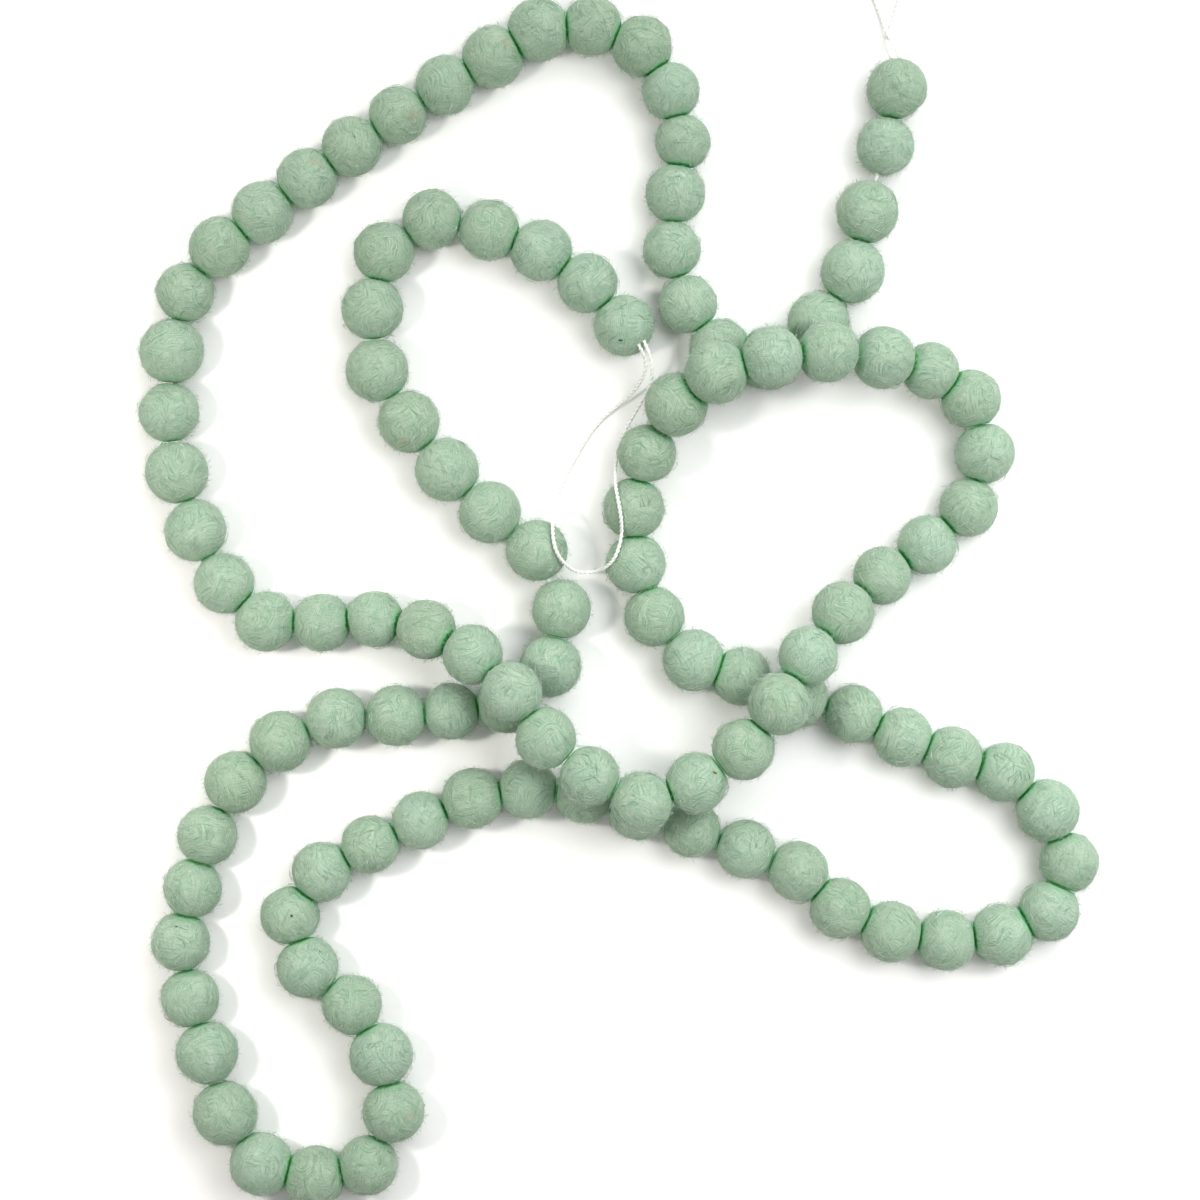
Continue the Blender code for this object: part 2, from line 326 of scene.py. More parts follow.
# x and y in mm; bulge in mm is how far the arc bows out to the left on the way to the next one.
Anchor = namedtuple("Anchor", "ball x y bulge")
ANCHORS = (
    Anchor(1, 92.5, 170.5, 0),
    Anchor(2, 88.5, 151.5, 0),
    Anchor(3, 82.5, 129.5, 8),
    Anchor(6, 49.5, 80.5, 0),
    Anchor(7, 33.5, 83.5, 7),
    Anchor(10, 18.5, 135.5, -7),
    Anchor(13, 7.5, 184.5, -9),
    Anchor(16, -42.5, 181, -2.5),
    Anchor(22, -133.5, 117.5, 0),
    Anchor(23, -145, 102.5, -11),
    Anchor(28, -132, 5.5, -6.5),
    Anchor(30, -99.5, -7.5, 9.5),
    Anchor(34, -35.5, -30, -5),
    Anchor(37, 7, -66, -6),
    Anchor(40, 52, -34, 5),
    Anchor(44, 102.5, 18.5, -11),
    Anchor(47, 117, 67, -3),
    Anchor(49, 87, 80, -3.5),
    Anchor(52, 31.5, 74.5, 0),
    Anchor(53, 18.5, 64.5, -10.5),
    Anchor(57, 11.5, -5.5, 0),
    Anchor(58, 24.5, -20, 0),
    Anchor(59, 40.5, -25.5, -0.5),
    Anchor(61, 78, -38, -1.5),
    Anchor(64, 128.5, -57.5, 4),
    Anchor(66, 150, -87.5, 6),
    Anchor(68, 127.5, -111.5, 10),
    Anchor(72, 59.5, -90.5, -1),
    Anchor(75, 6, -70.5, -9),
    Anchor(79, -66.5, -73.5, -0.5),
    Anchor(81, -99.5, -90.5, -8.5),
    Anchor(83, -104, -122.5, 7),
    Anchor(86, -75.5, -170.5, 0),
    Anchor(87, -84, -188.5, 4),
    Anchor(89, -119.5, -188, 3.5),
    Anchor(91, -137.5, -151, 1.5),
    Anchor(93, -146.5, -114, 0.5),
    Anchor(95, -137.5, -78.5, 13.5),
    Anchor(99, -74.5, -38.5, -0.5),
    Anchor(101, -38, -34.5, -6.5),
    Anchor(103, -19.5, -3, 0),
    Anchor(104, -27.5, 16.5, 4.5),
    Anchor(108, -81, 76.5, 0),
    Anchor(109, -82.5, 97, 15.5),
    Anchor(112, -43.5, 123.5, 5),
    Anchor(115, 1.5, 91.5, 0),
)


def on_arc(start, end, bulge, share):
    """The point at this share of the way along the arc from start to end."""
    chord = end - start
    if not bulge:
        return start + chord * share
    left = Vector((-chord.y, chord.x)).normalized()
    half_turn = 2 * math.atan(2 * bulge / chord.length)
    radius = chord.length / (2 * math.sin(half_turn))
    angle = half_turn * (2 * share - 1)
    along = chord.normalized() * radius * math.sin(angle)
    outwards = left * radius * (math.cos(angle) - math.cos(half_turn))
    return (start + end) / 2 + along + outwards


def ball_places():
    """Where each ball stands on the floor, in strand order."""
    places = []
    for here, there in zip(ANCHORS, ANCHORS[1:]):
        start = Vector((here.x, here.y)) * MM
        end = Vector((there.x, there.y)) * MM
        steps = there.ball - here.ball
        places += [on_arc(start, end, here.bulge * MM, step / steps) for step in range(steps)]
    return places + [end]


def resting_middles(places, radii):
    """The balls' middles at rest: on the floor, or raised where the strand crosses over."""
    rests = [radius - FLOOR_FLAT for radius in radii]
    lifts = [0.0] * len(places)
    over = {ball - 1 for first, last in OVERPASSES for ball in range(first, last + 1)}
    for upper in over:
        for lower in set(range(len(places))) - over:
            apart = (places[upper] - places[lower]).length
            reach = radii[upper] + radii[lower] + PIECE_GAP
            if abs(upper - lower) > 1 and apart < reach:
                cleared = rests[lower] + math.sqrt(reach**2 - apart**2) - rests[upper]
                lifts[upper] = max(lifts[upper], cleared)
    for _ in range(SETTLING_ROUNDS):
        for ball in range(1, len(places) - 1):
            held_up = (lifts[ball - 1] + lifts[ball + 1]) / 2 - SAG
            lifts[ball] = max(lifts[ball], held_up)
    heights = [rest + lift for rest, lift in zip(rests, lifts)]
    return [place.to_3d() + Vector((0, 0, height)) for place, height in zip(places, heights)]


def balls_on_string():
    """Each ball's middle and radius. Neighbours touch, except across the two string gaps."""
    places = ball_places()
    rolled = random.Random(SIZE_SEED)
    radii = [BALL_DIAMETER / 2 * rolled.gauss(1, SIZE_SPREAD) for _ in places]
    for _ in range(SIZING_ROUNDS):
        middles = resting_middles(places, radii)
        for ball in range(len(places) - 1):
            if ball + 1 in STRING_GAPS:
                continue
            apart = (middles[ball + 1] - middles[ball]).length
            short = apart + LEAST_PRESS - radii[ball] - radii[ball + 1]
            radii[ball] += max(short, 0) / 2
            radii[ball + 1] += max(short, 0) / 2
    return np.array(resting_middles(places, radii)), np.array(radii)


middles, radii = balls_on_string()

# ---------------------------------------------------------------------------------------------
# Bare string. Two pairs of balls don't quite meet, and between them a bit of the threading string
# shows. It is the same two-ply cotton, and both its ends go into the balls.

STRING_HIDDEN = 1.5 * MM

for ball in STRING_GAPS:
    near, far = middles[ball - 1], middles[ball]
    direction = (far - near) / np.linalg.norm(far - near)
    start = near + direction * (radii[ball - 1] - STRING_HIDDEN)
    end = far - direction * (radii[ball] - STRING_HIDDEN)
    steps = round(np.linalg.norm(end - start) / STRING_STEP) + 1
    plied_string(f"bare_string_after_ball_{ball:03d}", np.linspace(start, end, steps), cotton)

# ---------------------------------------------------------------------------------------------
# Felt balls. Dyed wool, wetted, soaped and rolled between the palms until the fibres mat into a
# firm ball with dull facets and lumps. A needle threads it, and its neighbours flatten it.

BALLS_PER_SOLID = 3
BALL_GRID = 13  # quads along each of a ball's twelve edges, as a cube blown up round
ROLLING_SEED = 40
SKIN = 0.988  # where the felted skin lies before it swells, as a share of the radius
SWELLS = 10
SWELL_HEIGHT = 0.011  # as a share of the radius
SWELL_WIDTH = 0.25  # a swell dies away over some 40 degrees of the ball
FACETS = 5
FACET_REACH = (0.95, 0.995)  # how far out a dull facet lies, as a share of the radius
FACET_EDGE = 0.10  # how far its edge is rounded, as a share of the radius
TOUCH_GAP = 0.04 * MM  # two next balls' flats are this far from meeting, each
TOUCH_EDGE = 0.8 * MM
FLOOR_EDGE = 0.5 * MM

# The winding of the fibres sways off a plain circle, by this much and this often.
SWAY = 0.8
SWAYS = 2.3
SEED_STEP = 3.7  # how far apart in the patterns two next balls are, in radii

# In a crease between two balls the colour is painted shade and bounce light: a fuller green that
# starts this far off the next ball, in ragged tufts, and the deepest green, painted shade, at the
# bottom. No loose wool grows there, or low down by the floor.
CREASE_WIDTH = 3.3 * MM
CREASE_FALL = 1.5
TUFT_SIZE = 0.9 * MM
RAGGED = 2.0 * MM
CREASE_SHADE_GREEN = "79B689"
CREASE_BOTTOM_SHADE_GREEN = "0A9138"
CREASE_BOTTOM = (0.85 * MM, 0.3 * MM)  # where the deepest green starts and where it is full
BARE_CREASE = 1.0 * MM  # over this distance the loose wool thickens to what it is elsewhere,
WOOLLY_FROM = 0.3  # from this share of it off the next ball
NO_WISPS_BELOW = 2.2 * MM
NO_NEIGHBOUR = 10.0  # metres away, for the ball missing at each end of the strand

# The felt's pattern. Each scale is in steps to a ball's radius of 10 mm.
WANDER_SCALE = 1.4  # the winding bends over some 7 mm
WANDER = 0.5  # by half of this, as a share of the radius
PATCH_SCALE = 1.7  # areas of 6 mm, in which one of three layers of strands shows
CLOUD_SCALE = 2.4  # 4 mm
PIT_SCALE = 15  # 0.7 mm
STRAND_RUN = 0.9  # along a strand, a step is 11 mm
STRAND_EDGE = 0.16
# each layer's pole, its other axes, and the steps across its strands: one each 0.3 to 0.4 mm
STRAND_LAYERS = (("Z", "XY", 28), ("X", "YZ", 33), ("Y", "ZX", 24))
STRAND_RELIEF = 0.6
PIT_RELIEF = 0.4
CLOUD_RELIEF = 0.25
# The colour follows the relief: painted shade darkens the low gaps between strands and the pits, and
# the raised strands are paler.
SHADED_RELIEF = (0.30, 0.98)  # the relief at which the wool is darkest and palest
RELIEF_HEIGHT = 0.25 * MM

# A few balls have a brownish patch. Where it lies and how wide it is are in mm, from above.
STAIN_STRENGTH = 0.8
Stain = namedtuple("Stain", "ball right up width")
STAINS = (
    Stain(16, 5.5, 3.0, 4.0),
    Stain(18, 6.0, -1.5, 4.5),
    Stain(20, 4.0, 4.5, 4.0),
    Stain(86, 6.5, 0.5, 3.5),
    Stain(107, -1.5, -7.5, 3.0),
)


def nearness_to_neighbours(tree):
    """How near the ball before or after is, as the mask of the painted crease shade: 1 where they
    touch, and 0 past the crease's width.

    Also gives the distance itself. Each ball carries its neighbours' middles and radii.
    """
    place = add_node(tree, "ShaderNodeTexCoord").outputs["Object"]
    clearances = []
    for neighbour in ("ball_before", "ball_after"):
        middle = add_node(tree, "ShaderNodeAttribute", attribute_name=f"{neighbour}_middle")
        reach = add_node(tree, "ShaderNodeAttribute", attribute_name=f"{neighbour}_radius")
        apart = add_node(
            tree,
            "ShaderNodeVectorMath",
            {0: place, 1: middle.outputs["Vector"]},
            operation="DISTANCE",
        )
        off = add_node(
            tree,
            "ShaderNodeMath",
            {0: apart.outputs["Value"], 1: reach.outputs["Fac"]},
            operation="SUBTRACT",
        )
        clearances.append(off.outputs[0])
    nearest = add_node(
        tree, "ShaderNodeMath", {0: clearances[0], 1: clearances[1]}, operation="MINIMUM"
    )
    tufts = add_node(
        tree, "ShaderNodeTexNoise", {"Vector": place, "Scale": 1 / TUFT_SIZE, "Detail": 2}
    )
    raised = add_node(
        tree, "ShaderNodeMath", {0: tufts.outputs[0], 1: 0.5}, operation="SUBTRACT"
    )
    clearance = add_node(
        tree,
        "ShaderNodeMath",
        {0: raised.outputs[0], 1: RAGGED, 2: nearest.outputs[0]},
        operation="MULTIPLY_ADD",
    ).outputs[0]
    near = add_node(
        tree, "ShaderNodeMapRange", {0: clearance, 1: 0.0, 2: CREASE_WIDTH, 3: 1.0, 4: 0.0}, clamp=True
    )
    shade = add_node(tree, "ShaderNodeMath", {0: near.outputs[0], 1: CREASE_FALL}, operation="POWER")
    return shade.outputs[0], clearance


def paint_crease_shade(tree, colour):
    """Painted crease shade: the colour made a fuller green towards a crease, and darkest at its
    bottom.
    """
    near, clearance = nearness_to_neighbours(tree)
    # painted shade: a fuller green towards the crease, then the darkest green at its bottom
    fuller = add_node(
        tree, "ShaderNodeMix", {0: near, 6: colour, 7: linear(CREASE_SHADE_GREEN)}, data_type="RGBA"
    )
    deep = add_node(
        tree,
        "ShaderNodeMapRange",
        {0: clearance, 1: CREASE_BOTTOM[1], 2: CREASE_BOTTOM[0], 3: 1.0, 4: 0.0},
        clamp=True,
    )
    deepest = add_node(
        tree,
        "ShaderNodeMix",
        {0: deep.outputs[0], 6: fuller.outputs[2], 7: linear(CREASE_BOTTOM_SHADE_GREEN)},
        data_type="RGBA",
    )
    return deepest.outputs[2]


def felted_wool():
    """Merino wool, wet felted: matt, with fine fibres wound round the ball in crossing swirls.

    Single fibres are about 0.02 mm thick and wouldn't show, so they are drawn as strands every
    0.3 to 0.4 mm, which is how bundles of them catch the light.
    """
    material, tree = new_material("wet_felted_wool")
    place = add_node(tree, "ShaderNodeAttribute", attribute_name="wool_place").outputs["Vector"]
    seed = add_node(tree, "ShaderNodeAttribute", attribute_name="wool_seed").outputs["Fac"]
    tone = add_node(tree, "ShaderNodeAttribute", attribute_name="wool_tone").outputs["Fac"]

    own_place = add_node(
        tree, "ShaderNodeVectorMath", {0: place, 1: seed}, operation="ADD"
    ).outputs[0]

    # the winding wanders, so the strands bend
    wander = add_node(
        tree, "ShaderNodeTexNoise", {"Vector": own_place, "Scale": WANDER_SCALE, "Detail": 1}
    )
    centred = add_node(
        tree,
        "ShaderNodeVectorMath",
        {0: wander.outputs["Color"], 1: (0.5, 0.5, 0.5)},
        operation="SUBTRACT",
    )
    warped = add_node(
        tree,
        "ShaderNodeVectorMath",
        {0: centred.outputs[0], 1: (WANDER, WANDER, WANDER), 2: place},
        operation="MULTIPLY_ADD",
    )
    wound = add_node(tree, "ShaderNodeVectorMath", {0: warped.outputs[0]}, operation="NORMALIZE")
    parts = add_node(tree, "ShaderNodeSeparateXYZ", {0: wound.outputs[0]})

    # strands run in circles round each of three poles, and lie over one another
    layers = []
    for pole, others, steps_across in STRAND_LAYERS:
        polar = add_node(tree, "ShaderNodeMath", {0: parts.outputs[pole]}, operation="ARCCOSINE")
        across = add_node(
            tree, "ShaderNodeMath", {0: polar.outputs[0], 1: steps_across}, operation="MULTIPLY"
        )
        around = [
            add_node(
                tree, "ShaderNodeMath", {0: parts.outputs[axis], 1: STRAND_RUN}, operation="MULTIPLY"
            )
            for axis in others
        ]
        run = add_node(
            tree,
            "ShaderNodeCombineXYZ",
            {0: across.outputs[0], 1: around[0].outputs[0], 2: around[1].outputs[0]},
        )
        own_run = add_node(
            tree, "ShaderNodeVectorMath", {0: run.outputs[0], 1: seed}, operation="ADD"
        )
        waves = add_node(
            tree,
            "ShaderNodeTexNoise",
            {
                "Vector": own_run.outputs[0],
                "Scale": 1,
                "Detail": 3,
                "Roughness": 0.6,
                "Distortion": 0.15,
            },
        )
        off_middle = add_node(
            tree, "ShaderNodeMath", {0: waves.outputs[0], 1: 0.5}, operation="SUBTRACT"
        )
        slope = add_node(tree, "ShaderNodeMath", {0: off_middle.outputs[0]}, operation="ABSOLUTE")
        strand = add_node(
            tree,
            "ShaderNodeMapRange",
            {0: slope.outputs[0], 1: 0.0, 2: STRAND_EDGE, 3: 1.0, 4: 0.0},
        )
        layers.append(strand.outputs[0])
    patches = add_node(
        tree, "ShaderNodeTexNoise", {"Vector": own_place, "Scale": PATCH_SCALE, "Detail": 1}
    )
    split = add_node(tree, "ShaderNodeSeparateColor", {0: patches.outputs["Color"]})
    first_patch = add_node(
        tree, "ShaderNodeMapRange", {0: split.outputs[0], 1: 0.44, 2: 0.56}, clamp=True
    )
    second_patch = add_node(
        tree, "ShaderNodeMapRange", {0: split.outputs[1], 1: 0.48, 2: 0.60}, clamp=True
    )
    two = add_node(tree, "ShaderNodeMix", {0: first_patch.outputs[0], 2: layers[0], 3: layers[1]})
    strands = add_node(
        tree, "ShaderNodeMix", {0: second_patch.outputs[0], 2: two.outputs[0], 3: layers[2]}
    )

    # matting is uneven, in clouds and in pits
    clouds = add_node(
        tree,
        "ShaderNodeTexNoise",
        {"Vector": own_place, "Scale": CLOUD_SCALE, "Detail": 3, "Roughness": 0.6},
    )
    pits = add_node(
        tree,
        "ShaderNodeTexNoise",
        {"Vector": own_place, "Scale": PIT_SCALE, "Detail": 2, "Roughness": 0.6},
    )
    soft_pits = add_node(
        tree, "ShaderNodeMath", {0: pits.outputs[0], 1: PIT_RELIEF}, operation="MULTIPLY"
    )
    fine = add_node(
        tree,
        "ShaderNodeMath",
        {0: strands.outputs[0], 1: STRAND_RELIEF, 2: soft_pits.outputs[0]},
        operation="MULTIPLY_ADD",
    )
    height = add_node(
        tree,
        "ShaderNodeMath",
        {0: clouds.outputs[0], 1: CLOUD_RELIEF, 2: fine.outputs[0]},
        operation="MULTIPLY_ADD",
    )
    # painted shade: the colour follows the relief, darker in the low gaps and pits, paler on the
    # raised strands
    shade = add_node(
        tree,
        "ShaderNodeMapRange",
        {0: height.outputs[0], 1: SHADED_RELIEF[0], 2: SHADED_RELIEF[1]},
    )
    ramp = add_node(tree, "ShaderNodeValToRGB", {0: shade.outputs[0]})
    ramp.color_ramp.elements[0].color = linear("6F9379")
    ramp.color_ramp.elements[1].color = linear("AABBA8")
    middle_tone = ramp.color_ramp.elements.new(0.5)
    middle_tone.color = linear("8AA58F")

    # each ball took the dye a little differently
    hue = add_node(tree, "ShaderNodeMapRange", {0: tone, 1: -1, 2: 1, 3: 0.487, 4: 0.507})
    value = add_node(tree, "ShaderNodeMapRange", {0: tone, 1: -1, 2: 1, 3: 0.95, 4: 1.05})
    dyed = add_node(
        tree,
        "ShaderNodeHueSaturation",
        {"Hue": hue.outputs[0], "Value": value.outputs[0], "Color": ramp.outputs[0]},
    )
    stain = add_node(tree, "ShaderNodeAttribute", attribute_name="wool_stain").outputs["Fac"]
    blotchy = add_node(
        tree, "ShaderNodeMapRange", {0: pits.outputs[0], 1: 0.42, 2: 0.62, 4: stain}, clamp=True
    )
    stained = add_node(
        tree,
        "ShaderNodeMix",
        {0: blotchy.outputs[0], 6: dyed.outputs[0], 7: linear("A08672")},
        data_type="RGBA",
    )
    bump = add_node(
        tree,
        "ShaderNodeBump",
        {"Height": height.outputs[0], "Strength": 0.42, "Distance": RELIEF_HEIGHT},
    )
    shader = add_node(
        tree,
        "ShaderNodeBsdfPrincipled",
        {
            "Base Color": paint_crease_shade(tree, stained.outputs[2]),
            "Roughness": 0.9,
            "Specular IOR Level": 0.15,
            "Sheen Weight": 0.25,
            "Sheen Roughness": 0.45,
            "Sheen Tint": linear("E4F0E0"),
            "Normal": bump.outputs[0],
        },
    )
    add_node(tree, "ShaderNodeOutputMaterial", {"Surface": shader.outputs[0]})
    return material


def teased_wool():
    """The same wool in single wisps: most are paler, painted light as it comes through them, and some
    darker, painted shade of gaps; near a crease they take the painted crease shade.
    """
    material, tree = new_material("teased_wool_fibre")
    shade = add_node(tree, "ShaderNodeAttribute", attribute_name="wisp_shade").outputs["Fac"]
    ramp = add_node(tree, "ShaderNodeValToRGB", {0: shade})
    ramp.color_ramp.elements[0].color = linear("618F6D")
    ramp.color_ramp.elements[1].color = linear("E0E7DF")
    middle_tone = ramp.color_ramp.elements.new(0.4)
    middle_tone.color = linear("9CB6A1")
    shader = add_node(
        tree,
        "ShaderNodeBsdfPrincipled",
        {
            "Base Color": paint_crease_shade(tree, ramp.outputs[0]),
            "Roughness": 0.8,
            "Specular IOR Level": 0.2,
        },
    )
    add_node(tree, "ShaderNodeOutputMaterial", {"Surface": shader.outputs[0]})
    return material


def ball_grid():
    """Directions and quads of a cube blown up round, with evenly sized quads."""
    mesh = bmesh.new()
    bmesh.ops.create_cube(mesh, size=2)
    bmesh.ops.subdivide_edges(mesh, edges=mesh.edges[:], cuts=BALL_GRID - 1, use_grid_fill=True)
    bmesh.ops.recalc_face_normals(mesh, faces=mesh.faces[:])
    cube = np.array([vert.co for vert in mesh.verts])
    quads = np.array([[vert.index for vert in face.verts] for face in mesh.faces])
    mesh.free()
    evened = np.tan(cube * math.pi / 4)
    return evened / np.linalg.norm(evened, axis=1)[:, None], quads


def seen_from_above(right, up, radius):
    """The direction from a ball's middle to a spot this far right of it and up, seen from above."""
    height = math.sqrt(radius**2 - (right**2 + up**2) * MM**2)
    return np.array((right * MM, up * MM, height)) / radius


def press(points, direction, limit, edge):
    """Flattens the points that lie beyond the limit along a direction, with a rounded edge."""
    along = points @ direction
    share = np.clip(0.5 + 0.5 * (limit - along) / edge, 0, 1)
    pressed = limit + (along - limit) * share - edge * share * (1 - share)
    points += np.outer(pressed - along, direction)


def random_direction(hand):
    """A direction with no preference, from a seeded hand."""
    direction = hand.normal(size=3)
    return direction / np.linalg.norm(direction)


def roll_ball(ball, directions):
    """One ball's points round its own middle, and its attributes, for the ball counted from 0."""
    hand = np.random.default_rng(ROLLING_SEED + ball)
    radius = radii[ball]
    swelling = np.full(len(directions), SKIN)
    for _ in range(SWELLS):
        nearness = (directions @ random_direction(hand) - 1) / SWELL_WIDTH
        swelling += hand.normal(0, SWELL_HEIGHT) * np.exp(nearness)
    points = directions * radius * swelling[:, None]
    for _ in range(FACETS):
        press(points, random_direction(hand), radius * hand.uniform(*FACET_REACH), radius * FACET_EDGE)
    clearest = np.full(len(points), np.inf)
    neighbours = {}
    for name, other in (("ball_before", ball - 1), ("ball_after", ball + 1)):
        if not 0 <= other < len(radii):
            neighbours[f"{name}_middle"] = np.full(points.shape, NO_NEIGHBOUR)
            neighbours[f"{name}_radius"] = np.zeros(len(points))
            continue
        neighbours[f"{name}_middle"] = np.tile(middles[other], (len(points), 1))
        neighbours[f"{name}_radius"] = np.full(len(points), radii[other])
        step = middles[other] - middles[ball]
        apart = np.linalg.norm(step)
        touch = (apart**2 + radius**2 - radii[other] ** 2) / (2 * apart)
        press(points, step / apart, touch - TOUCH_GAP, TOUCH_EDGE)
        clearance = np.linalg.norm(points - step, axis=1) - radii[other]
        clearest = np.minimum(clearest, clearance)
    press(points, np.array((0, 0, -1.0)), middles[ball][2], FLOOR_EDGE)
    stain = np.zeros(len(points))
    for patch in STAINS:
        if patch.ball == ball + 1:
            middle = seen_from_above(patch.right, patch.up, radius)
            apart = np.linalg.norm(directions - middle, axis=1) * radius
            fading = np.exp(-((apart / (patch.width / 2 * MM)) ** 2))
            stain = np.maximum(stain, STAIN_STRENGTH * fading)
    turn = np.array(Quaternion(hand.normal(size=4)).normalized().to_matrix())
    swaying = np.sin(SWAYS * directions @ turn.T + hand.uniform(0, 6, size=3))
    swayed = SWAY * swaying + (0, 0, 1.0)
    winding = np.cross(swayed @ turn, directions)
    off_floor = points[:, 2] + middles[ball][2] > NO_WISPS_BELOW
    off_crease = np.clip(clearest / BARE_CREASE - WOOLLY_FROM, 0, 1)
    return points + middles[ball], {
        "wool_place": directions @ turn.T,
        "wool_winding": winding / (np.linalg.norm(winding, axis=1)[:, None] + 1e-9),
        "wool_seed": np.full(len(points), ball * SEED_STEP),
        "wool_tone": np.full(len(points), hand.uniform(-1, 1)),
        "wool_stain": stain,
        "wool_loose": np.where(off_floor, off_crease, 0.0),
        **neighbours,
    }


def felt_balls(node, first, last, material):
    """The balls that one CAD solid joins, as one mesh with a closed skin for each ball."""
    directions, quads = ball_grid()
    rolled = [roll_ball(ball, directions) for ball in range(first, last + 1)]
    points = np.vstack([ball_points for ball_points, _ in rolled])
    faces = np.vstack([quads + len(directions) * step for step in range(len(rolled))])
    data = bpy.data.meshes.new(f"{node}_wool")
    data.from_pydata(points.tolist(), [], faces.tolist())
    for name in rolled[0][1]:
        values = np.concatenate([attributes[name] for _, attributes in rolled])
        is_vector = values.ndim == 2
        kind = "FLOAT_VECTOR" if is_vector else "FLOAT"
        attribute = data.attributes.new(name, kind, "POINT")
        attribute.data.foreach_set("vector" if is_vector else "value", values.ravel())
    data.shade_smooth()
    data.materials.append(material)
    piece = bpy.data.objects.new(data.name, data)
    bpy.context.scene.collection.objects.link(piece)
    return piece


# Loose wool on the balls. Ends and loops of fibre that felting didn't take in: wisps that hug
# the ball along its winding, short fuzz all over, and a few long strays that arch off it.

# per_ball is how many a ball would have all over; its creases and underside have none. The radius
# is in mm, and a few times the real one, so that a fibre shows. splay is the most that a fibre
# turns off the winding, in radians. bend and tip are in mm: along the winding, across it and off
# the ball. long and proud are the least and the most that these are multiplied by, along the
# winding and off the ball. shades are the darkest and the palest of them, from 0 to 1.
Wisp = namedtuple("Wisp", "name per_ball segments radius splay bend tip long proud shades")
WISPS = (
    Wisp(
        name="hugging",
        per_ball=210,
        segments=2,
        radius=0.070,
        splay=0.4,
        bend=(2.4, 0.7, 0.30),
        tip=(4.8, 0.1, -1.25),
        long=(0.6, 1.4),
        proud=(0.9, 1.1),
        shades=(0, 1),
    ),
    Wisp(
        name="fuzz",
        per_ball=1030,
        segments=2,
        radius=0.050,
        splay=3.1,
        bend=(0.6, 0.2, 0.65),
        tip=(1.6, 0.3, 0.95),
        long=(0.6, 1.2),
        proud=(0.2, 1.4),
        shades=(0.2, 0.9),
    ),
    Wisp(
        name="stray",
        per_ball=40,
        segments=3,
        radius=0.035,
        splay=1.6,
        bend=(1.8, 1.2, 1.3),
        tip=(3.8, 0.8, 0.6),
        long=(0.6, 1.2),
        proud=(0.3, 1.0),
        shades=(0.5, 1),
    ),
)
WISP_SEED = 5
WISP_SEEDS_APART = 100
WISP_ROLL = 0.25  # either way, in radians, as is the next
WISP_TILT = 0.2
WISP_ROOT = 0.08 * MM  # how deep in the skin a fibre starts
WISP_SAMPLES = 12
POINTED_WITHIN = 0.002 * MM
BALL_AREA = 4 * math.pi * (BALL_DIAMETER / 2) ** 2
FIBRE_ON_FLOOR = 0.03 * MM


